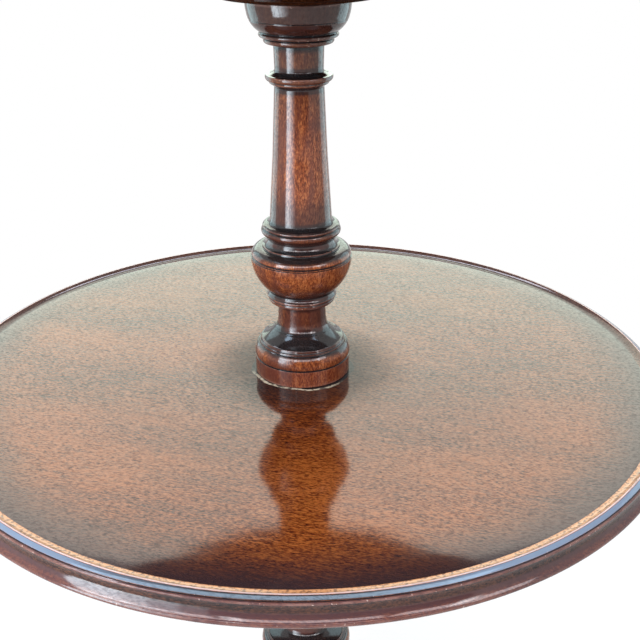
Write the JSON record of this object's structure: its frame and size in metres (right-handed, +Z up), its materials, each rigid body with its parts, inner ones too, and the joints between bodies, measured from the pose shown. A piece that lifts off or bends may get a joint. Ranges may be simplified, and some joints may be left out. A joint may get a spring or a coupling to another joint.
{
  "type": "dumbwaiter table",
  "caption": "Revolving dumbwaiter table: round dished mahogany tiers on a ring-turned stem, over downswept legs with brass cap castors.",
  "frame": {"origin": "on the floor, under the stem's axis", "axes": "+Z up along the stem; +Y towards the back leg; +X to the right of a viewer who looks along +Y"},
  "size_m": [0.61, 0.61, 0.8505],
  "materials": {
    "mahogany": "french-polished mahogany, red brown, with a darker patina in the hollows",
    "brass": "dull gold brass, lightly tarnished",
    "iron": "dark wrought iron"
  },
  "bodies": {
    "stand": {"lower_stem": "mahogany", "upper_stem": "mahogany", "leg_back": "mahogany", "leg_right": "mahogany", "leg_left": "mahogany", "leg_plate": "iron", "leg_plate_screw_back": "iron", "leg_plate_screw_right": "iron", "leg_plate_screw_left": "iron", "block_screw_back": "iron", "block_screw_right": "iron", "block_screw_left": "iron", "castor_cap_back": "brass", "castor_cap_right": "brass", "castor_cap_left": "brass", "castor_cap_screw_back": "brass", "castor_cap_screw_right": "brass", "castor_cap_screw_left": "brass", "castor_pintle_back": "iron", "castor_pintle_right": "iron", "castor_pintle_left": "iron", "lower_spindle": "iron", "upper_spindle": "iron", "lower_thrust_washer": "brass", "upper_thrust_washer": "brass", "nut_washer": "brass", "spindle_nut": "iron"},
    "lower_tier": {"lower_tier_board": "mahogany", "lower_tier_boss": "mahogany", "lower_tier_bush": "brass", "lower_tier_boss_screw_1": "iron", "lower_tier_boss_screw_2": "iron", "lower_tier_boss_screw_3": "iron", "lower_tier_boss_screw_4": "iron"},
    "upper_tier": {"upper_tier_board": "mahogany", "upper_tier_boss": "mahogany", "upper_tier_bush": "brass", "upper_tier_boss_screw_1": "iron", "upper_tier_boss_screw_2": "iron", "upper_tier_boss_screw_3": "iron", "upper_tier_boss_screw_4": "iron"},
    "castor_horn_back": {"castor_fork_back": "brass", "castor_axle_back": "iron"},
    "castor_horn_right": {"castor_fork_right": "brass", "castor_axle_right": "iron"},
    "castor_horn_left": {"castor_fork_left": "brass", "castor_axle_left": "iron"},
    "castor_roller_back": {"castor_wheel_back": "brass"},
    "castor_roller_right": {"castor_wheel_right": "brass"},
    "castor_roller_left": {"castor_wheel_left": "brass"}
  },
  "joints": [
    {"name": "lower_tier_turn", "type": "hinge", "parent": "stand", "child": "lower_tier", "pos_m": [0, 0, 0.5], "axis": [0, 0, 1], "continuous": true},
    {"name": "upper_tier_turn", "type": "hinge", "parent": "stand", "child": "upper_tier", "pos_m": [0, 0, 0.8472], "axis": [0, 0, 1], "continuous": true},
    {"name": "castor_swivel_back", "type": "hinge", "parent": "stand", "child": "castor_horn_back", "pos_m": [0, 0.264, 0.033], "axis": [0, 0, 1], "continuous": true},
    {"name": "castor_swivel_right", "type": "hinge", "parent": "stand", "child": "castor_horn_right", "pos_m": [0.22863, -0.132, 0.033], "axis": [0, 0, 1], "continuous": true},
    {"name": "castor_swivel_left", "type": "hinge", "parent": "stand", "child": "castor_horn_left", "pos_m": [-0.22863, -0.132, 0.033], "axis": [0, 0, 1], "continuous": true},
    {"name": "castor_roll_back", "type": "hinge", "parent": "castor_horn_back", "child": "castor_roller_back", "pos_m": [0, 0.274, 0.014], "axis": [-1, 0, 0], "continuous": true},
    {"name": "castor_roll_right", "type": "hinge", "parent": "castor_horn_right", "child": "castor_roller_right", "pos_m": [0.23729, -0.137, 0.014], "axis": [0.5, 0.866, 0], "continuous": true},
    {"name": "castor_roll_left", "type": "hinge", "parent": "castor_horn_left", "child": "castor_roller_left", "pos_m": [-0.23729, -0.137, 0.014], "axis": [0.5, -0.866, 0], "continuous": true}
  ]
}
